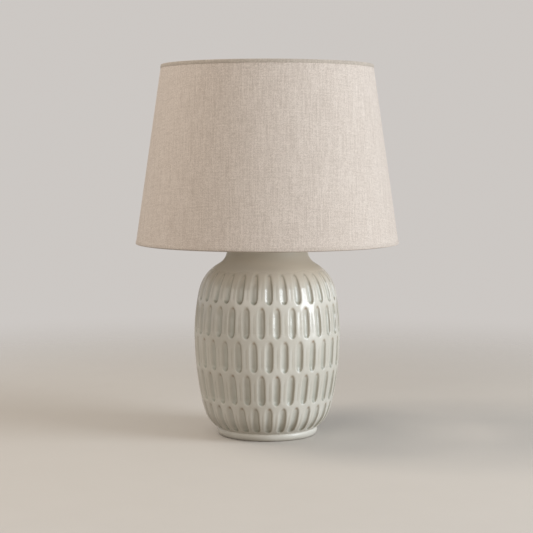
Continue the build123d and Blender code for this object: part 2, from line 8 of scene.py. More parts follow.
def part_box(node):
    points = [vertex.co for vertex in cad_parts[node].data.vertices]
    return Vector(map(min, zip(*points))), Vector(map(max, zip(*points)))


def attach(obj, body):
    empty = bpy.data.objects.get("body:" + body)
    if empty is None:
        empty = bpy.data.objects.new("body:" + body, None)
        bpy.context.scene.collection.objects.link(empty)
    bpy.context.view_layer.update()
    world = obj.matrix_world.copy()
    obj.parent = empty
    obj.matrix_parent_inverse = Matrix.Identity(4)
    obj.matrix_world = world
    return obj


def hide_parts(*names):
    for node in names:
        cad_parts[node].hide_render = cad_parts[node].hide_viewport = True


# Table lamp: a carved ceramic jar, brass fittings, a globe bulb and a linen shade on a harp.
# Metres, +Z up, the front towards -Y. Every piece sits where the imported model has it.
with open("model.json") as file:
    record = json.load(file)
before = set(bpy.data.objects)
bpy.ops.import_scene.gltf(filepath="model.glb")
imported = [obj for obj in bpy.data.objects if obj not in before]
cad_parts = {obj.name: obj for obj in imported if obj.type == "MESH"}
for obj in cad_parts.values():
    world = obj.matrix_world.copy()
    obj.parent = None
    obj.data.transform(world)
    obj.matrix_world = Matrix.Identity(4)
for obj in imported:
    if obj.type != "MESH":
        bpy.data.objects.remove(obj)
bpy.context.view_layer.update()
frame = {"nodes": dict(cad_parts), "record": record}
nodes = frame["nodes"]

# Ceramic jar. Slip-cast stoneware, gouged by hand in five staggered rows before a pale celadon glaze.
# The glaze runs thin over the top of each stroke and pools grey-green at its lower end.
# The foot ring reaches down round the felt as a thin skirt.
jar_low, jar_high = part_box("ceramic_body")
foot_radius = 0.0677
foot_height = 0.0068
foot_width = 0.0103
foot_tuck = 0.0022
foot_bulge = 0.0014
foot_skirt = 0.0016
skirt_inner_radius = 0.0634
waist_depth = 0.001
waist_height = 0.0016
toe_radius = 0.068
hip_radius = 0.0867
hip_rise = 0.0264
belly_radius = 0.099
belly_rise = 0.1017
shoulder_radius = 0.0927
shoulder_rise = 0.0585
throat_radius = 0.066
throat_rise = 0.0354
neck_radius = 0.0545
lip_round = 0.003
lip_steps = 6
jar_wall = 0.006
inside_runs = (0.03, 0.07, 0.12, 0.18, 0.23)
board_space = 0.00305
floor_thickness = 0.0065
hand_hole_radius = 0.038
deck_thickness = 0.006
nipple_hole_radius = 0.0054
flute_rows = 5
flute_count = 30
flute_turn = radians(2)
gouge_radius = 0.0063
flute_depth = 0.0029
flute_start = 0.0402
flute_end = 0.0037
flute_gap = 0.0034
left_squeeze = 0.86
right_squeeze = 1.28
left_softness = 1.7
wall_blend = 0.002
entry_sink = 0.58
entry_share = 0.36
top_entry_sink = 0.32
top_entry_share = 0.58
top_row_lift = 0.0016
depth_error = 0.08
lean_error = 0.018
lean_centre = 0.02
ridge_hollow = 0.00045
ridge_reach = 0.0042
ridge_start = 0.002
rim_depth = 0.0006
thin_drop = 0.0018
thin_reach = 0.0028
weld_distance = 0.00001
steps_around = 600
outlet = next(mount for mount in frame["record"]["mounts"] if mount["name"] == "cord_outlet")
land_height = 0.004
land_radius = 0.0082
land_edge = 0.0135
land_depth = 0.02


def tangent_arc(start, heading, end, steps):
    """Points of the arc that leaves start along heading and ends at end, with the heading there."""
    chord = end - start
    lean = heading.angle_signed(chord)
    size = chord.length / (2 * sin(lean))
    points = []
    for step in range(steps + 1):
        turn = lean * step / steps
        points.append(start + turned(heading, turn) * (2 * size * sin(turn)))
    return points, turned(heading, 2 * lean)


def turned(direction, angle):
    """A flat direction, turned clockwise by an angle, as angle_signed counts it."""
    return Vector((
        direction.x * cos(angle) + direction.y * sin(angle),
        direction.y * cos(angle) - direction.x * sin(angle),
    ))


def bowed(start, end, bulge, steps):
    """Points of a shallow arc from start to end that bulges to the right of its way."""
    across = Vector((end.y - start.y, start.x - end.x)).normalized()
    points = []
    for step in range(steps + 1):
        share = step / steps
        points.append(start.lerp(end, share) + across * (bulge * 4 * share * (1 - share)))
    return points


# The outline from the toe up to the neck is a chain of tangent arcs, as the mould was turned
toe = Vector((toe_radius, jar_low.z + foot_height + waist_height))
hip = Vector((hip_radius, toe.y + hip_rise))
belly = Vector((belly_radius, hip.y + belly_rise))
shoulder = Vector((shoulder_radius, belly.y + shoulder_rise))
throat = Vector((throat_radius, shoulder.y + throat_rise))
arc_steps = 60
lower_belly, heel_heading = tangent_arc(belly, Vector((0, -1)), hip, arc_steps)
heel, _ = tangent_arc(hip, heel_heading, toe, arc_steps)
upper_belly, shoulder_heading = tangent_arc(belly, Vector((0, 1)), shoulder, arc_steps)
shoulder_arc, throat_heading = tangent_arc(shoulder, shoulder_heading, throat, arc_steps)
throat_round = (throat_radius - neck_radius) / (1 - throat_heading.y)
neck = Vector((neck_radius, throat.y + throat_round * -throat_heading.x))
collar_arc, _ = tangent_arc(throat, throat_heading, neck, arc_steps)
outline = heel[::-1] + lower_belly[-2::-1] + upper_belly[1:] + shoulder_arc[1:] + collar_arc[1:]

# Lengths along the outline are counted from the neck down
lengths = [0.0]
for before, after in zip(outline[::-1], outline[-2::-1]):
    lengths.append(lengths[-1] + (after - before).length)
outline_length = lengths[-1]
flute_span = outline_length - flute_start - flute_end
flute_length = (flute_span - flute_gap * (flute_rows - 1)) / flute_rows
flute_pitch = flute_length + flute_gap


def on_outline(run):
    """Point of the outline at a length below the neck."""
    for index, length in enumerate(lengths[1:], 1):
        if length >= run:
            share = (run - lengths[index - 1]) / (length - lengths[index - 1])
            return outline[-index].lerp(outline[-index - 1], share)
    return outline[0]


# Stations along the outline: close together at the ends of the strokes, wide apart between them
end_steps = (0.0, 0.0008, 0.0016, 0.0025, 0.0035, 0.0047, 0.0062, 0.0082)
middle_steps = 5
shoulder_steps = 14
least_step = 0.001
stations = [flute_start * step / shoulder_steps for step in range(shoulder_steps)]
for row in range(flute_rows):
    row_top = flute_start + row * flute_pitch
    stations += [row_top + step for step in end_steps]
    middle_top = row_top + end_steps[-1]
    middle = flute_length - 2 * end_steps[-1]
    stations += [middle_top + middle * step / middle_steps for step in range(1, middle_steps)]
    stations += [row_top + flute_length - step for step in end_steps[::-1]]
    stations += [row_top + flute_length + flute_gap * share for share in (0.33, 0.67)]
stations = [run for run in stations if run < outline_length - least_step] + [outline_length]

# The whole section of the wall, anticlockwise from the foot: outside, top deck, inside and recess.
# Each point has its run along the outline and whether its clay is bare; a run below zero is uncarved.
uncarved = -1.0
band_low = Vector((foot_radius - foot_tuck, jar_low.z - foot_skirt))
band_high = Vector((foot_radius, jar_low.z + foot_height))
lip_centre = Vector((neck_radius - lip_round, jar_high.z - lip_round))
lip_turns = [pi / 2 * step / lip_steps for step in range(lip_steps + 1)]
recess_z = jar_low.z + board_space
floor_z = recess_z + floor_thickness
deck_z = jar_high.z - deck_thickness
band = bowed(band_low, band_high, foot_bulge, 8) + bowed(band_high, toe, -waist_depth, 4)[1:-1]
lip = [Vector((neck_radius, jar_high.z - 2 * lip_round))]
lip += [lip_centre + Vector((cos(turn), sin(turn))) * lip_round for turn in lip_turns]
lip += [Vector((neck_radius / 2, jar_high.z)), Vector((nipple_hole_radius, jar_high.z))]
inside = [Vector((nipple_hole_radius, deck_z)), on_outline(0.0) - Vector((jar_wall, jar_wall))]
inside += [on_outline(run) - Vector((jar_wall, 0)) for run in inside_runs]
inside += [Vector(corner) for corner in (
    (toe_radius - jar_wall, floor_z),
    (hand_hole_radius, floor_z),
    (hand_hole_radius, recess_z),
    (foot_radius - foot_width, recess_z),
    (foot_radius - foot_width, jar_low.z),
    (skirt_inner_radius, jar_low.z),
    (skirt_inner_radius, band_low.y),
    band_low,
)]
section = [(point, uncarved, 0.0) for point in band]
section += [(on_outline(run), run, 0.0) for run in stations[::-1]]
section += [(point, uncarved, 0.0) for point in lip]
section += [(point, uncarved, 1.0) for point in inside]

section_mesh = bpy.data.meshes.new("jar_section")
section_mesh.from_pydata(
    [(point.x, 0, point.y) for point, _, _ in section],
    [(index, index + 1) for index in range(len(section) - 1)],
    [],
)
section_runs = section_mesh.attributes.new("run", "FLOAT", "POINT")
section_bare = section_mesh.attributes.new("bare", "FLOAT", "POINT")
section_outward = section_mesh.attributes.new("outward", "FLOAT_VECTOR", "POINT")
for index, (point, run, bare) in enumerate(section):
    along = section[min(index + 1, len(section) - 1)][0] - section[max(index - 1, 0)][0]
    section_runs.data[index].value = run
    section_bare.data[index].value = bare
    section_outward.data[index].vector = Vector((along.y, 0, -along.x)).normalized()


class Number:
    """A number that a node tree works out; a sum written with it adds the nodes for that sum."""

    def __init__(self, socket):
        self.socket = socket
        self.tree = socket.id_data

    def __add__(self, other):
        return figure("ADD", self, other)

    def __sub__(self, other):
        return figure("SUBTRACT", self, other)

    def __rsub__(self, other):
        return figure("SUBTRACT", other, self)

    def __mul__(self, other):
        return figure("MULTIPLY", self, other)

    def __truediv__(self, other):
        return figure("DIVIDE", self, other)

    def __gt__(self, other):
        return figure("GREATER_THAN", self, other)

    def fade(self, low, high, start=0.0, end=1.0):
        """Goes smoothly from start to end as the number goes from low to high."""
        ranges = {"Value": self, "From Min": low, "From Max": high, "To Min": start, "To Max": end}
        node = add_node(self.tree, "ShaderNodeMapRange", ranges, interpolation_type="SMOOTHSTEP")
        return Number(node.outputs[0])


def feed(socket, value):
    """Links a socket to another one, or sets its value."""
    if isinstance(value, Number):
        value = value.socket
    if isinstance(value, bpy.types.NodeSocket):
        socket.id_data.links.new(value, socket)
    else:
        socket.default_value = value


def add_node(tree, kind, inputs=(), **settings):
    """A node with its settings, and its inputs fed in by name or number."""
    node = tree.nodes.new(kind)
    for setting, value in settings.items():
        setattr(node, setting, value)
    for socket, value in dict(inputs).items():
        feed(node.inputs[socket], value)
    return node


def figure(operation, *values):
    """A Math node on values of which one at least is a Number; gives its result."""
    tree = next(value.tree for value in values if isinstance(value, Number))
    return Number(add_node(tree, "ShaderNodeMath", enumerate(values), operation=operation).outputs[0])


def parts(vector):
    """The three numbers in a vector."""
    node = add_node(vector.id_data, "ShaderNodeSeparateXYZ", {0: vector})
    return [Number(part) for part in node.outputs]


def new_tree(name, sockets):
    """A Geometry Nodes tree with named inputs, listed by kind; gives the tree and its input node."""
    tree = bpy.data.node_groups.new(name, "GeometryNodeTree")
    tree.interface.new_socket("Geometry", in_out="INPUT", socket_type="NodeSocketGeometry")
    for kind, names in sockets.items():
        for socket in names:
            tree.interface.new_socket(socket, in_out="INPUT", socket_type="NodeSocket" + kind)
    tree.interface.new_socket("Geometry", in_out="OUTPUT", socket_type="NodeSocketGeometry")
    return tree, tree.nodes.new("NodeGroupInput")


def close_tree(tree, geometry, material):
    """Ends a tree: its instances made real, and its material set."""
    real = add_node(tree, "GeometryNodeRealizeInstances", {"Geometry": geometry})
    dressed = add_node(
        tree, "GeometryNodeSetMaterial", {"Geometry": real.outputs[0], "Material": material}
    )
    feed(tree.nodes.new("NodeGroupOutput").inputs[0], dressed.outputs[0])


def grown(name, mesh, tree, values):
    """The plain mesh object that a tree makes out of a mesh, with its inputs set by their names."""
    seed = bpy.data.objects.new(name + "_seed", mesh)
    bpy.context.scene.collection.objects.link(seed)
    modifier = seed.modifiers.new(name, "NODES")
    modifier.node_group = tree
    for item in tree.interface.items_tree:
        if item.in_out == "INPUT" and item.name in values:
            modifier[item.identifier] = values[item.name]
    shape = seed.evaluated_get(bpy.context.evaluated_depsgraph_get())
    plain = bpy.data.meshes.new_from_object(shape)
    finish = next(material for material in plain.materials if material)
    plain.materials.clear()
    plain.materials.append(finish)
    result = bpy.data.objects.new(name, plain)
    bpy.data.objects.remove(seed)
    bpy.context.scene.collection.objects.link(result)
    return result


def carved_jar_tree():
    """Turns the wall's section round the axis and sinks the flutes into its outside."""
    tree, given = new_tree("carved_jar", {
        "Int": ("Steps around", "Flutes around", "Rows", "Seed"),
        "Float": (
            "Turn", "Gouge radius", "Depth", "First row", "Flute length", "Row pitch",
            "Rim softness", "End slimness", "Hand wander", "Land height",
        ),
        "Vector": ("Outlet", "Outlet axis"),
        "Material": ("Glaze",),
    })
    size = {socket.name: Number(socket) for socket in given.outputs if socket.type in ("INT", "VALUE")}
    outlet_axis = given.outputs["Outlet axis"]
    section_points = Number(add_node(
        tree, "GeometryNodeAttributeDomainSize", {"Geometry": given.outputs["Geometry"]}
    ).outputs["Point Count"])
    grid = add_node(tree, "GeometryNodeMeshGrid", {
        "Size X": 1.0,
        "Size Y": 1.0,
        "Vertices X": size["Steps around"] + 1,
        "Vertices Y": section_points,
    })
    position = tree.nodes.new("GeometryNodeInputPosition").outputs[0]
    grid_across, grid_up, _ = parts(position)
    angle = (grid_across + 0.5) * tau
    station = figure("ROUND", (grid_up + 0.5) * (section_points - 1))

    def sampled(source, kind):
        """What a field is at this point's station of the section."""
        return add_node(tree, "GeometryNodeSampleIndex", {
            "Geometry": given.outputs["Geometry"], "Value": source, "Index": station,
        }, data_type=kind, domain="POINT").outputs[0]

    def carried(name, kind):
        """A field that the section's points carry under a name."""
        node = add_node(tree, "GeometryNodeInputNamedAttribute", {"Name": name}, data_type=kind)
        return node.outputs["Attribute"]

    def vectors(operation, first, second):
        """A vector operation on two vectors: gives its node."""
        return add_node(tree, "ShaderNodeVectorMath", {0: first, 1: second}, operation=operation)

    def scaled(vector, share):
        """A vector made longer or shorter."""
        return add_node(
            tree, "ShaderNodeVectorMath", {0: vector, "Scale": share}, operation="SCALE"
        ).outputs[0]

    def swung(point):
        """A point of the section, swung round the axis to where it belongs."""
        return add_node(
            tree, "ShaderNodeVectorRotate", {"Vector": point, "Angle": angle}, rotation_type="Z_AXIS"
        ).outputs[0]

    wall = sampled(position, "FLOAT_VECTOR")
    outward = sampled(carried("outward", "FLOAT_VECTOR"), "FLOAT_VECTOR")
    run = Number(sampled(carried("run", "FLOAT"), "FLOAT"))
    bare = sampled(carried("bare", "FLOAT"), "FLOAT")
    radius = parts(wall)[0]

    # Which row this point is in, how far down its stroke it is, and how far to the side of it
    below = run - size["First row"]
    row = figure("FLOOR", below / size["Row pitch"])
    row = figure("MAXIMUM", figure("MINIMUM", row, size["Rows"] - 1), 0)
    down = below - row * size["Row pitch"]
    pitch = figure("DIVIDE", tau, size["Flutes around"])
    half_turn = figure("MODULO", row, 2) * (pitch / 2)
    turns = (angle - (size["Turn"] + half_turn - pi / 2)) / pitch
    flute = figure("ROUND", turns)
    flute_id = figure("FLOORED_MODULO", flute, size["Flutes around"]) + row * size["Flutes around"]

    def by_hand(offset):
        """A small steady error of the hand in one flute, from -1 to 1."""
        return Number(add_node(tree, "FunctionNodeRandomValue", {
            "Min": -1.0, "Max": 1.0, "ID": flute_id, "Seed": size["Seed"] + offset,
        }, data_type="FLOAT").outputs["Value"])

    side = (turns - flute) * pitch * radius + by_hand(0) * size["Hand wander"]
    side = side + by_hand(1) * lean_error * (down - lean_centre)

    # The tool was held aslant, so the right wall of a flute is steeper than the left one
    side = side * ((side > 0) * (right_squeeze - left_squeeze) + left_squeeze)

    # A stroke enters shallow, reaches its depth and stops short; the top row fades into the shoulder
    is_top_row = figure("LESS_THAN", row, 0.5)
    entry = is_top_row * (top_entry_sink - entry_sink) + entry_sink
    entry_end = size["Flute length"] * (is_top_row * (top_entry_share - entry_share) + entry_share)
    sink = down.fade(0.0, entry_end, entry, 1.0) * (by_hand(2) * depth_error + 1.0)
    depth = size["Depth"] * sink
    half_width = figure("SQRT", size["Gouge radius"] * 2 * depth - depth * depth)
    end_reach = half_width * size["End slimness"]
    stroke_top = end_reach + by_hand(3) * size["Hand wander"] - is_top_row * top_row_lift
    stroke_end = size["Flute length"] - end_reach + by_hand(4) * size["Hand wander"]
    nearest = figure("MINIMUM", figure("MAXIMUM", down, stroke_top), stroke_end)
    past = (down - nearest) / size["End slimness"]
    away = figure("SQRT", side * side + past * past)
    tool = size["Gouge radius"] * size["Gouge radius"] - away * away
    cut = depth - size["Gouge radius"] + figure("SQRT", figure("MAXIMUM", tool, 0))
    softness = size["Rim softness"] * side.fade(-wall_blend, wall_blend, left_softness, 1.0)
    cut = figure("SMOOTH_MAX", cut, 0, softness)
    carved = run > 0

    # The ridge between two flutes is slightly hollow, so that each flute has a low lip round it
    between = (0.5 - figure("ABSOLUTE", turns - flute)) * pitch * radius
    hollow = between.fade(0.0, ridge_reach, ridge_hollow, 0.0) * down.fade(ridge_start, entry_end)
    hollow = hollow * down.fade(stroke_end, size["Flute length"], 1.0, 0.0)
    cut = (cut + hollow * (below > 0)) * carved

    # Round the cord outlet the wall is left uncarved, and flat where the grommet's flange lies
    reach = vectors("SUBTRACT", swung(wall), given.outputs["Outlet"]).outputs[0]
    stand = Number(vectors("DOT_PRODUCT", reach, outlet_axis).outputs["Value"])
    from_axis = Number(vectors("DISTANCE", reach, scaled(outlet_axis, stand)).outputs["Value"])
    land = from_axis.fade(land_radius, land_edge, 1.0, 0.0) * (stand > -land_depth) * carved
    cut = cut * (1.0 - land)
    levelled = (stand - size["Land height"]) * land

    # Where the glaze gathers, where it breaks thin over an edge, and where the flute walls get painted
    # shadow
    sunk_share = cut / size["Depth"]
    low_end = down.fade(size["Flute length"] * 0.55, size["Flute length"] * 0.97, 0.55, 1.0)
    tip = past.fade(0.0012, 0.0042, 0.0, 0.85) * sunk_share.fade(0.06, 0.3)
    pool = figure("MAXIMUM", sunk_share.fade(0.35, 1.0) * low_end * 0.7, tip)
    wall_share = (away / half_width).fade(0.3, 0.8) * sunk_share.fade(0.04, 0.3)
    # Darker glaze on the steep walls, plus painted shadow: five times as strong on the right walls, which
    # face away from the light
    steep_wall_and_shadow = wall_share * side.fade(-wall_blend, wall_blend, 0.2, 1.0)
    below_apex = down - (stroke_top - end_reach) - thin_drop
    from_apex = figure("SQRT", side * side + below_apex * below_apex)
    thin = from_apex.fade(0.0, thin_reach, 1.0, 0.0) * carved
    thin = thin * by_hand(5).fade(-0.9, 0.5, 0.3, 1.0) * (1.0 - is_top_row * 0.85)
    rim = figure("ABSOLUTE", cut - rim_depth).fade(0.0, rim_depth, 1.0, 0.0) * carved
    shape = grid.outputs["Mesh"]
    glaze_notes = {"pool": pool, "steep_wall_and_shadow": steep_wall_and_shadow, "thin": thin, "rim": rim, "bare": bare}
    for name, value in glaze_notes.items():
        shape = add_node(tree, "GeometryNodeStoreNamedAttribute", {
            "Geometry": shape, "Name": name, "Value": value,
        }, data_type="FLOAT", domain="POINT").outputs[0]

    point = vectors("SUBTRACT", wall, scaled(outward, cut)).outputs[0]
    point = vectors("SUBTRACT", swung(point), scaled(outlet_axis, levelled)).outputs[0]
    for kind, setting, value in (
        ("GeometryNodeSetPosition", "Position", point),
        ("GeometryNodeMergeByDistance", "Distance", weld_distance),
        ("GeometryNodeSetShadeSmooth", "Shade Smooth", True),
    ):
        shape = add_node(tree, kind, {"Geometry": shape, setting: value}).outputs[0]
    close_tree(tree, shape, given.outputs["Glaze"])
    return tree


def blank_finish(name):
    """A new material: gives it, its node tree and its shader."""
    material = bpy.data.materials.new(name)
    material.use_nodes = True
    return material, material.node_tree, material.node_tree.nodes["Principled BSDF"]


def tint(share, first, second):
    """Goes from one colour to another."""
    return add_node(
        share.tree, "ShaderNodeMix", {0: share, 6: first, 7: second}, data_type="RGBA", clamp_factor=True
    ).outputs[2]


def grain(place, scale, detail, stretch=(1, 1, 1), roughness=0.55):
    """Noise from 0 to 1 over a place, finer along an axis with a larger stretch."""
    tree = place.id_data
    drawn = add_node(tree, "ShaderNodeMapping", {"Vector": place, "Scale": stretch}).outputs[0]
    return Number(add_node(tree, "ShaderNodeTexNoise", {
        "Vector": drawn, "Scale": scale, "Detail": detail, "Roughness": roughness,
    }).outputs[0])


def own_place(tree):
    """The piece's own coordinates, in metres."""
    return tree.nodes.new("ShaderNodeTexCoord").outputs["Object"]


def held(tree, name):
    """A number that the mesh carries at its points."""
    return Number(add_node(tree, "ShaderNodeAttribute", attribute_name=name).outputs["Fac"])


def raised(shader, height, distance, strength=1.0):
    """Relief on a surface, given as a height from 0 to 1 and how far that is in metres."""
    relief = add_node(height.tree, "ShaderNodeBump", {
        "Height": height, "Distance": distance, "Strength": strength,
    })
    feed(shader.inputs["Normal"], relief.outputs[0])


def celadon_glaze():
    """Pale glaze, green where deep and dark on the flute walls; buff clay. Painted light makes the heel
    and top row paler, the shoulder warm and the right flute walls darker.
    """
    material, tree, shader = blank_finish("celadon_glaze")
    place = own_place(tree)
    cloudy = grain(place, 16, 4)
    fine = grain(place, 260, 3)
    height = parts(place)[2]
    glaze = tint(cloudy.fade(0.32, 0.68), (0.57, 0.543, 0.478, 1), (0.64, 0.618, 0.558, 1))
    # Painted light: the heel and the top row are made paler, as if more light reached them under the
    # lampshade and on the downward slope
    painted_heel_light = height.fade(0.007, 0.012) * height.fade(0.03, 0.055, 0.45, 0.0)
    painted_light_share = figure("MAXIMUM", painted_heel_light, height.fade(0.172, 0.19, 0.0, 0.35))
    glaze = tint(painted_light_share, glaze, (0.80, 0.775, 0.71, 1))
    # Painted warm light on the shoulder, as if bounced from the lampshade's underside
    painted_warm_bounce = height.fade(0.195, 0.225, 0.0, 0.6) * height.fade(0.235, 0.252, 1.0, 0.3)
    glaze = tint(painted_warm_bounce, glaze, (0.68, 0.585, 0.47, 1))
    glaze = tint(held(tree, "rim") * fine.fade(0.3, 0.7, 0.1, 0.5), glaze, (0.70, 0.67, 0.585, 1))
    glaze = tint(held(tree, "pool"), glaze, (0.33, 0.345, 0.29, 1))
    # Darker glaze and painted shadow on the flute walls, strongest on the right walls
    glaze = tint(held(tree, "steep_wall_and_shadow") * 0.8, glaze, (0.255, 0.225, 0.165, 1))
    broken = held(tree, "thin") * cloudy.fade(0.3, 0.6, 0.35, 0.75)
    glaze = tint(broken, glaze, (0.30, 0.18, 0.095, 1))
    bare = held(tree, "bare")
    clay = tint(fine, (0.52, 0.43, 0.33, 1), (0.60, 0.51, 0.40, 1))
    feed(shader.inputs["Base Color"], tint(bare, glaze, clay))
    gloss = grain(place, 45, 3).fade(0.3, 0.7, 0.10, 0.17)
    satin = figure("MAXIMUM", height.fade(0.135, 0.165, 0.19, 0.0), height.fade(0.215, 0.235, 0.0, 0.26))
    feed(shader.inputs["Roughness"], gloss + satin + bare * 0.6)
    raised(shader, grain(place, 110, 2), 0.00035, 0.35)
    shader.inputs["IOR"].default_value = 1.52
    return material


ceramic_jar = grown("ceramic_jar", section_mesh, carved_jar_tree(), {
    "Steps around": steps_around,
    "Flutes around": flute_count,
    "Rows": flute_rows,
    "Turn": flute_turn,
    "Gouge radius": gouge_radius,
    "Depth": flute_depth,
    "First row": flute_start,
    "Flute length": flute_length,
    "Row pitch": flute_pitch,
    "Rim softness": 0.0018,
    "End slimness": 1.6,
    "Hand wander": 0.00035,
    "Outlet": outlet["pos_m"],
    "Outlet axis": outlet["axis"],
    "Land height": land_height,
    "Seed": 7,
    "Glaze": celadon_glaze(),
})
ceramic_jar.data.set_sharp_from_angle(angle=radians(55))

# Cord outlet. A black rubber grommet sits in a stepped hole bored square to the wall, low on the back.
# The hole is cut through the glazed jar here, so that the grommet's flange lies in its seat.
flange_radius = 0.0069
barrel_radius = 0.00455
seat_floor = 0.00155
cutter_reach = 0.02


def turned_mesh(name, section, steps):
    """A lathe-turned mesh: a section of radius and height, turned once round the Z axis."""
    shape = bmesh.new()
    turns = [tau * step / steps for step in range(steps)]
    rings = []
    for radius, height in section:
        if radius == 0:
            rings.append([shape.verts.new((0, 0, height))] * steps)
            continue
        ring = [(radius * cos(turn), radius * sin(turn), height) for turn in turns]
        rings.append([shape.verts.new(corner) for corner in ring])
    for lower, upper in zip(rings, rings[1:]):
        for step in range(steps):
            after = (step + 1) % steps
            corners = []
            for corner in (lower[step], lower[after], upper[after], upper[step]):
                if corner not in corners:
                    corners.append(corner)
            shape.faces.new(corners).smooth = True
    return closed_mesh(name, shape)


def closed_mesh(name, shape):
    """The mesh of a finished shape, with its faces turned outwards."""
    bmesh.ops.recalc_face_normals(shape, faces=shape.faces)
    mesh = bpy.data.meshes.new(name)
    shape.to_mesh(mesh)
    shape.free()
    return mesh


def placed(name, mesh, material=None):
    """A new object at the origin that shows a mesh."""
    piece = bpy.data.objects.new(name, mesh)
    bpy.context.scene.collection.objects.link(piece)
    if material:
        mesh.materials.append(material)
    return piece


seat_section = [
    (0, -cutter_reach),
    (barrel_radius, -cutter_reach),
    (barrel_radius, seat_floor),
    (flange_radius, seat_floor),
    (flange_radius, cutter_reach),
    (0, cutter_reach),
]
seat_cutter = placed("seat_cutter", turned_mesh("seat_cutter", seat_section, 64))
seat_cutter.data.transform(Vector(outlet["axis"]).to_track_quat("Z", "X").to_matrix().to_4x4())
seat_cutter.data.transform(Matrix.Translation(outlet["pos_m"]))
bored = ceramic_jar.modifiers.new("bored", "BOOLEAN")
bored.object = seat_cutter
bored.solver = "EXACT"
bored_shape = ceramic_jar.evaluated_get(bpy.context.evaluated_depsgraph_get())
bored_mesh = bpy.data.meshes.new_from_object(bored_shape)
ceramic_jar.modifiers.clear()
ceramic_jar.data = bored_mesh
bpy.data.objects.remove(seat_cutter)
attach(ceramic_jar, "base")
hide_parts("ceramic_body")


def dress(material, *names):
    """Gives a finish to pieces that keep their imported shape."""
    for name in names:
        nodes[name].data.materials.clear()
        nodes[name].data.materials.append(material)


def mottled_finish(name, marks, tones, gloss, relief=None, others=()):
    """A finish with one noise in tone and roughness; relief is a noise, a depth and a strength."""
    material, tree, shader = blank_finish(name)
    place = own_place(tree)
    mottle = grain(place, *marks)
    feed(shader.inputs["Base Color"], tint(mottle, *tones))
    feed(shader.inputs["Roughness"], mottle.fade(0.3, 0.7, *gloss))
    for socket, value in dict(others).items():
        feed(shader.inputs[socket], value)
    if relief:
        relief_marks, depth, strength = relief
        raised(shader, grain(place, *relief_marks), depth, strength)
    return material


# Matt black rubber with a faint bloom, for the grommet and for the gasket under the neck's cap
rubber = mottled_finish(
    "moulded_rubber",
    marks=(380, 4),
    tones=((0.016, 0.016, 0.017, 1), (0.045, 0.044, 0.042, 1)),
    gloss=(0.55, 0.78),
    relief=((2200, 2), 0.00004, 1.0),
)
dress(rubber, "cord_grommet", "neck_gasket")

# Underside. A disc of wool felt is glued to the foot, over the fibre board that closes the hand hole.
# The felt is die cut, so its edge is square but slightly frayed.
felt_low, felt_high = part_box("felt_pad")
felt_edge = 0.0004
felt_fray = 0.00022
fray_scale = 900


def wool_felt():
    """Charcoal felt: short matted fibres that lie every way."""
    material, tree, shader = blank_finish("wool_felt")
    place = own_place(tree)
    fibres = grain(place, 900, 5, (1, 0.25, 1), 0.7)
    crossing = grain(place, 900, 5, (0.25, 1, 1), 0.7)
    matted = figure("MAXIMUM", fibres, crossing)
    wool = tint(matted.fade(0.4, 0.75), (0.030, 0.029, 0.028, 1), (0.105, 0.10, 0.095, 1))
    feed(shader.inputs["Base Color"], wool)
    shader.inputs["Roughness"].default_value = 0.95
    shader.inputs["Sheen Weight"].default_value = 0.35
    shader.inputs["Sheen Roughness"].default_value = 0.5
    raised(shader, matted, 0.0004)
    return material


def fibre_board(name, dark, pale):
    """Pressed board with short fibres."""
    material, tree, shader = blank_finish(name)
    fibres = grain(own_place(tree), 420, 6, (1, 0.35, 1), 0.65)
    feed(shader.inputs["Base Color"], tint(fibres.fade(0.35, 0.7), dark, pale))
    shader.inputs["Roughness"].default_value = 0.88
    raised(shader, fibres, 0.00012)
    return material


felt_section = [
    (0, felt_low.z),
    (felt_high.x / 2, felt_low.z),
    (felt_high.x - felt_edge, felt_low.z),
    (felt_high.x, felt_low.z + felt_edge),
    (felt_high.x, felt_high.z - felt_edge),
    (felt_high.x - felt_edge, felt_high.z),
    (felt_high.x / 2, felt_high.z),
    (0, felt_high.z),
]
felt = placed("felt", turned_mesh("felt", felt_section, 240), wool_felt())
for vertex in felt.data.vertices:
    if hypot(vertex.co.x, vertex.co.y) > felt_high.x - 2 * felt_edge:
        vertex.co.xy *= 1 - felt_fray / felt_high.x * (1 + noise.noise(vertex.co * fray_scale))
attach(felt, "base")
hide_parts("felt_pad")
dress(fibre_board("base_fibre", (0.10, 0.075, 0.052, 1), (0.22, 0.17, 0.12, 1)), "base_board")
dress(fibre_board("socket_fibre", (0.30, 0.22, 0.14, 1), (0.46, 0.36, 0.25, 1)), "socket_insulator")


# Neck fittings, socket and harp. Spun and turned brass, satin brushed round the axis and lacquered.
# The nipple, the washers, the inner nut and the set screw are zinc-plated steel.
def satin_brass():
    """Brass with fine turning marks and a soft, slightly uneven lacquer."""
    material, tree, shader = blank_finish("satin_brass")
    place = own_place(tree)
    marks = grain(place, 60, 4, (1, 1, 60), 0.6)
    lacquer = tint(grain(place, 38, 3), (0.60, 0.43, 0.19, 1), (0.74, 0.57, 0.30, 1))
    feed(shader.inputs["Base Color"], lacquer)
    feed(shader.inputs["Roughness"], marks.fade(0.3, 0.7, 0.22, 0.36))
    shader.inputs["Metallic"].default_value = 1.0
    raised(shader, marks, 0.00002, 0.5)
    return material


brass = satin_brass()
steel = mottled_finish(
    "plated_steel",
    marks=(120, 4),
    tones=((0.52, 0.53, 0.55, 1), (0.68, 0.69, 0.70, 1)),
    gloss=(0.28, 0.45),
    relief=((120, 4), 0.00003, 0.4),
    others={"Metallic": 1.0},
)
dress(brass, "neck_cap", "upper_nut", "harp_saddle", "harp_wire", "harp_stud")
dress(brass, "harp_sleeve_left", "harp_sleeve_right", "socket_cap", "socket_shell")
dress(brass, "terminal_screws", "centre_contact", "switch_spindle")
dress(steel, "nipple", "deck_washer", "lock_washer", "lower_nut", "set_screw")

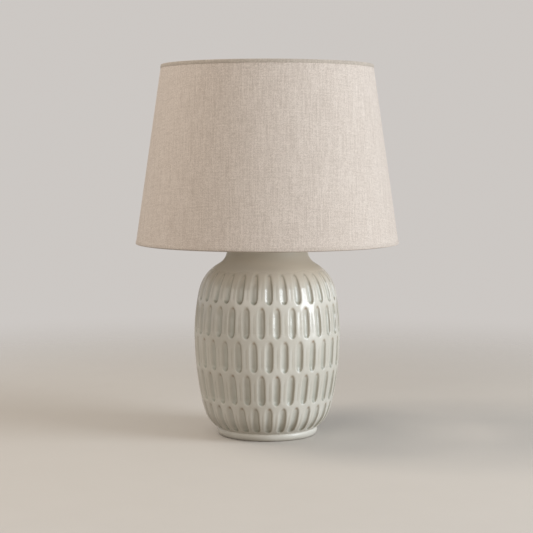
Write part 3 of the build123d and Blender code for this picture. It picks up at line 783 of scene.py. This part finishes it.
# Switch. A black phenolic block carries the contacts; its fluted knob points to the front.
# The moulding keeps a dull skin with fine flow marks.
phenolic = mottled_finish(
    "phenolic_moulding",
    marks=(140, 5, (1, 0.3, 1)),
    tones=((0.012, 0.009, 0.007, 1), (0.038, 0.028, 0.021, 1)),
    gloss=(0.24, 0.42),
    relief=((700, 3), 0.00005, 0.5),
)
dress(phenolic, "switch_body", "switch_knob")

# Bulb. A frosted globe on a white housing, with a rolled aluminium screw cap and a soldered tip.
# The cap and the socket's screw shell have the same rolled thread, so the bulb screws in.
thread_pitch = 0.0036
thread_height = 0.00045
thread_wall = 0.0003
thread_steps = 72
rows_per_turn = 12
run_out_share = 1 / 6


def rolled_thread(name, node):
    """A thin tube with a round thread rolled into it, inside the space of a packed tube."""
    low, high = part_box(node)
    rows = ceil((high.z - low.z) / thread_pitch * rows_per_turn)
    shape = bmesh.new()
    sides = []
    for inset in (0.0, thread_wall):
        rings = []
        for row in range(rows + 1):
            height = low.z + (high.z - low.z) * row / rows
            edge = min(1.0, min(row, rows - row) / rows / run_out_share)
            ring = []
            for step in range(thread_steps):
                turn = tau * step / thread_steps
                wave = 0.5 - 0.5 * cos(tau * (height - low.z) / thread_pitch - turn)
                radius = high.x - inset - thread_height * wave * edge
                ring.append(shape.verts.new((radius * cos(turn), radius * sin(turn), height)))
            rings.append(ring)
        sides.append(rings)
    outside, inside = sides
    loops = outside + inside[::-1]
    for lower, upper in zip(loops, loops[1:] + loops[:1]):
        for step in range(thread_steps):
            after = (step + 1) % thread_steps
            shape.faces.new((lower[step], lower[after], upper[after], upper[step])).smooth = True
    return closed_mesh(name, shape)


def bulb_plastic(name, colour, shine, glow):
    """White moulding, faintly cloudy, that lets a little light in."""
    shaded = tuple(0.94 * part for part in colour)
    return mottled_finish(
        name,
        marks=(70, 3),
        tones=((*shaded, 1), (*colour, 1)),
        gloss=(shine, shine + 0.08),
        relief=((1800, 2), 0.00002, 0.4),
        others={"Subsurface Weight": glow, "Subsurface Radius": (0.004, 0.004, 0.0036)},
    )


aluminium = mottled_finish(
    "bright_aluminium",
    marks=(90, 5, (1, 1, 14)),
    tones=((0.70, 0.70, 0.70, 1), (0.83, 0.83, 0.84, 1)),
    gloss=(0.2, 0.36),
    others={"Metallic": 1.0},
)
insulator_glass = mottled_finish(
    "insulator_glass",
    marks=(160, 3),
    tones=((0.004, 0.004, 0.005, 1), (0.012, 0.012, 0.014, 1)),
    gloss=(0.06, 0.14),
)
bulb_cap = placed("bulb_cap", rolled_thread("bulb_cap", "bulb_screw_cap"), aluminium)
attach(bulb_cap, "bulb")
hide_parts("bulb_screw_cap")
socket_thread = placed("socket_thread", rolled_thread("socket_thread", "screw_shell"), brass)
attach(socket_thread, "base")
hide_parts("screw_shell")
dress(aluminium, "bulb_light_board")
dress(brass, "bulb_tip")
dress(insulator_glass, "bulb_insulator")
dress(bulb_plastic("bulb_housing_white", (0.74, 0.74, 0.72), 0.32, 0.1), "bulb_housing")
dress(bulb_plastic("opal_globe", (0.78, 0.78, 0.755), 0.38, 0.5), "bulb_globe")

# Shade frame and liner. The top ring and its spider are brass; the bottom ring is plated steel, inside
# the hem. The stiff white liner is a matt film, and the grain of the glued cloth shows through it.
liner_film = mottled_finish(
    "liner_film",
    marks=(500, 4, (1, 1, 0.4)),
    tones=((0.72, 0.70, 0.655, 1), (0.80, 0.785, 0.745, 1)),
    gloss=(0.55, 0.55),
    relief=((500, 4, (1, 1, 0.4)), 0.00005, 0.6),
)
dress(brass, "shade_spider")
dress(steel, "shade_bottom_ring")
dress(liner_film, "shade_liner")

# Linen cover. One piece of oatmeal plain-weave linen, cut as a sector of a ring on the straight grain
# and glued round the liner, with a narrow lapped seam down the back.
shade_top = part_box("shade_linen")[1].z
shade_top_radius = 0.1425
shade_bottom_radius = 0.1775
shade_height = 0.2388
linen_thickness = 0.0007
seam_lap = 0.010
lap_rise = 0.006
lap_gap = 0.0001
cut_edge = 0.0004
yarn_pitch = 0.00078
turn_steps = 256
slope_steps = 24
rear = pi / 2
shade_taper = shade_bottom_radius - shade_top_radius
shade_slant = hypot(shade_height, shade_taper)
slope_out = shade_taper / shade_slant
slope_down = shade_height / shade_slant
lap_turn = seam_lap / (shade_top_radius + shade_taper / 2)
rise_turn = lap_rise / (shade_top_radius + shade_taper / 2)
lap_lift = linen_thickness + lap_gap


def on_shade(turn, down, lift):
    """Point of the cone at an angle, a length down its slope, lifted off its surface."""
    radius = shade_top_radius + down * slope_out + lift * slope_down
    height = shade_top - down * slope_down + lift * slope_out
    return Vector((radius * cos(turn), radius * sin(turn), height))


def flat_cut(turn, down):
    """Where a point of the cone lies in the flat cut, with the front on the straight grain."""
    reach = (shade_top_radius + down * slope_out) / slope_out
    swing = (turn - rear - pi) * slope_out
    return reach * sin(swing), -reach * cos(swing)


def eased(share):
    """Goes from 0 to 1 with no corner, and stays there."""
    share = min(1.0, max(0.0, share))
    return share * share * (3 - 2 * share)


def oatmeal_linen(name, dark_yarn, pale_yarn):
    """Plain weave: warp and weft yarns of uneven tone and thickness, with slubs, over and under."""
    material, tree, shader = blank_finish(name)
    cut = add_node(tree, "ShaderNodeUVMap", uv_map="cut").outputs[0]
    across, along = [length / yarn_pitch for length in parts(cut)[:2]]
    column = figure("FLOOR", across)
    line = figure("FLOOR", along)

    def yarn_tone(number, length, drift, seed):
        """Tone of one yarn, drifting along its length."""
        spot = add_node(tree, "ShaderNodeCombineXYZ", {"X": number * 3.7, "Y": length * drift, "Z": seed})
        return Number(add_node(tree, "ShaderNodeTexNoise", {
            "Vector": spot.outputs[0], "Scale": 1.0, "Detail": 3.0, "Roughness": 0.65,
        }).outputs[0])

    warp = yarn_tone(column, along, 0.022, 1.0)
    weft = yarn_tone(line, across, 0.045, 20.0)
    wave_across = figure("SINE", across * pi)
    wave_along = figure("SINE", along * pi)
    warp_on_top = (wave_across * wave_along).fade(-0.12, 0.12)
    weft_on_top = 1.0 - warp_on_top
    tone = warp * warp_on_top + (weft * 0.7 + 0.15) * weft_on_top
    crossing = add_node(tree, "ShaderNodeCombineXYZ", {"X": column, "Y": line}).outputs[0]
    fleck = add_node(tree, "ShaderNodeTexWhiteNoise", {"Vector": crossing}, noise_dimensions="2D")
    uneven = {
        Number(fleck.outputs["Value"]): 0.28,
        grain(cut, 1, 2, (560, 19, 1), 0.6): 0.33,
        grain(cut, 1, 2, (17, 520, 1), 0.6): 0.16,
        grain(cut, 9, 3): 0.08,
    }
    for source, share in uneven.items():
        tone = figure("MULTIPLY_ADD", source - 0.5, share, tone)
    cloth = tint(tone.fade(0.26, 0.74), dark_yarn, pale_yarn)
    swell_across = figure("ABSOLUTE", wave_across)
    swell_along = figure("ABSOLUTE", wave_along)
    gap = figure("MAXIMUM", swell_across, swell_along).fade(0.25, 0.75, 0.78, 1.0)
    cloth = add_node(
        tree, "ShaderNodeMix", {0: 1.0, 6: cloth, 7: gap}, data_type="RGBA", blend_type="MULTIPLY"
    ).outputs[2]
    feed(shader.inputs["Base Color"], cloth)
    shader.inputs["Roughness"].default_value = 0.9
    shader.inputs["Sheen Weight"].default_value = 0.12
    shader.inputs["Sheen Roughness"].default_value = 0.6
    shader.inputs["Specular IOR Level"].default_value = 0.25
    height = swell_across * warp_on_top + swell_along * weft_on_top
    raised(shader, height * tone.fade(0.2, 0.8, 0.6, 1.0), 0.00022, 0.8)
    return material


cover_points = []
cover_cuts = []
cover_turns = [rear + (tau + lap_turn) * step / turn_steps for step in range(turn_steps + 1)]
cover_turns[1] = cover_turns[0] + cut_edge / shade_top_radius
cover_turns[-2] = cover_turns[-1] - cut_edge / shade_top_radius
cover_downs = [shade_slant * row / slope_steps for row in range(slope_steps + 1)]
cover_downs[1] = cut_edge
cover_downs[-2] = shade_slant - cut_edge
for turn in cover_turns:
    lift = lap_lift * eased((turn - rear - tau + rise_turn) / rise_turn)
    for down in cover_downs:
        cover_points.append(on_shade(turn, down, lift))
        cover_cuts.append(flat_cut(turn, down))
cover_faces = []
for step in range(turn_steps):
    for row in range(slope_steps):
        corner = step * (slope_steps + 1) + row
        beside = corner + slope_steps + 1
        cover_faces.append((corner, corner + 1, beside + 1, beside))
cover_mesh = bpy.data.meshes.new("linen_cover")
cover_mesh.from_pydata(cover_points, [], cover_faces)
cover_mesh.polygons.foreach_set("use_smooth", [True] * len(cover_faces))
cut_map = cover_mesh.uv_layers.new(name="cut")
for loop in cover_mesh.loops:
    cut_map.data[loop.index].uv = cover_cuts[loop.vertex_index]
linen = oatmeal_linen("oatmeal_linen", (0.535, 0.455, 0.395, 1), (0.785, 0.70, 0.63, 1))
linen_cover = placed("linen_cover", cover_mesh, linen)
cloth_body = linen_cover.modifiers.new("cloth_body", "SOLIDIFY")
cloth_body.thickness = linen_thickness
cloth_body.offset = -1
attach(linen_cover, "shade")
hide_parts("shade_linen")

# Edge tapes. Strips of linen, folded over the cloth, the liner and the ring, and glued.
# They ride over the lap of the seam, and their edges wander a little where they were turned in by hand.
hem_depth = 0.0044
tape_thickness = 0.0004
wrap_gap = 0.00002
shade_layers = 0.00155
ring_radius = 0.0017
ring_slack = 0.0003
ring_gap = 0.00005
fold_round = 0.0007
fold_steps = 4
ring_steps = 8
tape_steps = 480
tape_wander = 0.00022
wander_scale = 9
tape_puff = 0.00008
puff_scale = 24


def tape_line():
    """The fold of a tape in the edge's own plane: out of the cloth, and past the edge."""
    stand = wrap_gap + tape_thickness / 2
    ring_reach = ring_radius + ring_slack + stand
    ring_centre = Vector((-shade_layers - ring_gap - ring_radius, -ring_radius))
    fold_centre = Vector((stand - fold_round, ring_slack / 2 + stand - fold_round))
    line = [Vector((stand, -hem_depth * share)) for share in (1.0, 0.75, 0.5)]
    for step in range(fold_steps + 1):
        bend = pi / 2 * step / fold_steps
        line.append(fold_centre + Vector((cos(bend), sin(bend))) * fold_round)
    inner_low = Vector((-shade_layers - stand, -hem_depth))
    leaving = pi / 2 + acos(min(1.0, ring_reach / (inner_low - ring_centre).length))
    inner_lean = atan2(inner_low.y - ring_centre.y, inner_low.x - ring_centre.x) % tau
    last_bend = inner_lean - leaving + pi / 2
    for step in range(ring_steps + 1):
        bend = pi / 2 + (last_bend - pi / 2) * step / ring_steps
        line.append(ring_centre + Vector((cos(bend), sin(bend))) * ring_reach)
    line += [line[-1].lerp(inner_low, share) for share in (0.5, 0.75, 1.0)]
    return line


def tape_section():
    """The closed section of a tape, thin at its ends; each point has its length along the fold."""
    line = tape_line()
    run = 0.0
    outer = []
    inner = []
    for index, point in enumerate(line):
        before = line[max(index - 1, 0)]
        way = line[min(index + 1, len(line) - 1)] - before
        half = Vector((way.y, -way.x)).normalized() * (tape_thickness / 2)
        run += (point - before).length
        at_end = index in (0, len(line) - 1)
        outer.append((point if at_end else point + half, run))
        inner.append((point - half, run))
    return outer + inner[::-1]


def folded_tape(name, node, edge_down, past, edge_radius, cloth):
    """A tape folded round one edge of the shade; past is the way past the edge, -1 up or 1 down."""
    loop_line = tape_section()
    points = []
    for step in range(tape_steps):
        turn = tau * step / tape_steps
        over_lap = eased((turn - rear) / rise_turn + 1) * eased((rear + lap_turn - turn) / rise_turn + 1)
        wander = noise.noise(Vector((cos(turn), sin(turn), past)) * wander_scale) * tape_wander
        puff = noise.noise(Vector((cos(turn), sin(turn), past * 2)) * puff_scale) * tape_puff
        for point, _ in loop_line:
            at_hem = max(0.0, -point.y / hem_depth - 0.5) * 2
            down = edge_down + past * (point.y + wander * at_hem)
            lift = lap_lift * over_lap * eased(1 + point.x / shade_layers)
            points.append(on_shade(turn, down, point.x + puff + lift))
    count = len(loop_line)
    faces = []
    cuts = []
    for step in range(tape_steps):
        for index in range(count):
            beside = (index + 1) % count
            ends = ((step, index), (step, beside), (step + 1, beside), (step + 1, index))
            faces.append([place % tape_steps * count + spot for place, spot in ends])
            for place, spot in ends:
                cuts += (tau * place / tape_steps * edge_radius, loop_line[spot][1])
    mesh = bpy.data.meshes.new(name)
    mesh.from_pydata(points, [], faces)
    mesh.polygons.foreach_set("use_smooth", [True] * len(faces))
    mesh.uv_layers.new(name="cut").data.foreach_set("uv", cuts)
    if past > 0:
        mesh.flip_normals()
    mesh.set_sharp_from_angle(angle=radians(60))
    tape = placed(name, mesh, cloth)
    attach(tape, "shade")
    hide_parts(node)
    return tape


# The tapes are darker copies of the cover's linen: painted shadow on the folded edges, the top tape
# darker than the hem
shadowed_tape_linen = oatmeal_linen("shadowed_tape_linen", (0.40, 0.345, 0.29, 1), (0.60, 0.53, 0.46, 1))
shadowed_hem_linen = oatmeal_linen("shadowed_hem_linen", (0.495, 0.42, 0.363, 1), (0.73, 0.65, 0.58, 1))
top_tape = folded_tape("top_tape", "shade_top_tape", 0.0, -1, shade_top_radius, shadowed_tape_linen)
bottom_tape = folded_tape(
    "bottom_tape", "shade_bottom_tape", shade_slant, 1, shade_bottom_radius, shadowed_hem_linen
)

# Finial. A turned brass base and ball that screw down on the stud and hold the shade.
dress(brass, "finial_base", "finial_ball")

# Stage. A plain pale floor under the lamp, which fades out into an even pale room.
# Only the camera sees the fading; the floor throws less light back up on the left than on the right.
floor_radius = 6.0
floor_clear = 0.4
floor_gone = 1.5
floor_mesh = turned_mesh("floor", [(0, 0), (floor_radius, 0)], 64)
floor_mesh.flip_normals()
floor = placed("floor", floor_mesh)


def ray_switches(tree):
    """One for what the camera looks at, and one for that and what it sees in a gloss or through glass."""
    paths = tree.nodes.new("ShaderNodeLightPath").outputs
    looked_at = Number(paths["Is Camera Ray"])
    mirrored = figure("MAXIMUM", looked_at, paths["Is Glossy Ray"])
    return looked_at, figure("MAXIMUM", mirrored, paths["Is Transmission Ray"])


def floor_paint():
    """Matt pale paint that gives way to the room, for the camera alone, away from the lamp."""
    material, tree, shader = blank_finish("floor_paint")
    place = own_place(tree)
    looked_at, seen = ray_switches(tree)
    paint = tint(grain(place, 14, 3), (0.535, 0.50, 0.46, 1), (0.555, 0.52, 0.48, 1))
    thrown = tint(parts(place)[0].fade(-0.12, 0.15), (0.15, 0.115, 0.08, 1), (0.42, 0.36, 0.29, 1))
    feed(shader.inputs["Base Color"], tint(seen, thrown, paint))
    shader.inputs["Roughness"].default_value = 0.85
    away = Number(add_node(tree, "ShaderNodeVectorMath", {0: place}, operation="LENGTH").outputs["Value"])
    underside = tree.nodes.new("ShaderNodeNewGeometry").outputs["Backfacing"]
    gone = figure("MAXIMUM", away.fade(floor_clear, floor_gone), underside)
    feed(shader.inputs["Alpha"], 1.0 - gone * looked_at)
    return material


floor_mesh.materials.append(floor_paint())


# Light. A tall soft window to the right, a weak wide one in front on the left and a soft light high
# on the left, in a room that is even all round.
def window(name, place, aim, width, height, power, colour):
    """A soft rectangular light that faces a point."""
    light = bpy.data.lights.new(name, "AREA")
    light.color = colour
    light.shape = "RECTANGLE"
    light.size = width
    light.size_y = height
    light.energy = power
    holder = bpy.data.objects.new(name, light)
    holder.location = place
    holder.rotation_euler = (Vector(aim) - Vector(place)).to_track_quat("-Z", "Y").to_euler()
    bpy.context.scene.collection.objects.link(holder)


window(
    "right_window",
    place=(2.04, -0.82, 0.88),
    aim=(0, 0, 0.25),
    width=1.1,
    height=1.64,
    power=46.5,
    colour=(0.92, 1.0, 1.075),
)
window(
    "left_window",
    place=(-1.3, -2.1, 1.1),
    aim=(0, 0, 0.25),
    width=2.2,
    height=2.0,
    power=19,
    colour=(1.0, 0.94, 0.87),
)
window(
    "high_left",
    place=(-1.35, 0.0, 2.3),
    aim=(0, 0, 0.38),
    width=1.0,
    height=1.0,
    power=28.5,
    colour=(1.0, 0.91, 0.80),
)
room_light = (1.0, 0.965, 0.92, 1)
room_strength = 0.36
room_tone = (0.605, 0.575, 0.55, 1)
room = bpy.data.worlds.new("room")
room.use_nodes = True
room_shade = room.node_tree.nodes["Background"]
room_shade.inputs["Color"].default_value = room_light
room_shade.inputs["Strength"].default_value = room_strength
room_wall = add_node(room.node_tree, "ShaderNodeBackground", {"Color": room_tone, "Strength": 1.0})
_, room_seen = ray_switches(room.node_tree)
room_mix = add_node(room.node_tree, "ShaderNodeMixShader", {
    0: room_seen,
    1: room_shade.outputs[0],
    2: room_wall.outputs[0],
})
feed(room.node_tree.nodes["World Output"].inputs["Surface"], room_mix.outputs[0])
bpy.context.scene.world = room

# Camera: level with the shade, a long lens from two metres in front, tilted down a little
camera_lens = bpy.data.cameras.new("camera")
camera_lens.lens = 100
camera_lens.sensor_width = 36
camera_lens.sensor_fit = "HORIZONTAL"
camera_tilt = radians(4.49)
camera = bpy.data.objects.new("camera", camera_lens)
camera.location = (-0.001, -2.0058, 0.3857)
camera.rotation_euler = (radians(90) - camera_tilt, 0, 0)
bpy.context.scene.collection.objects.link(camera)
bpy.context.scene.camera = camera
bpy.context.scene.view_settings.view_transform = "Standard"
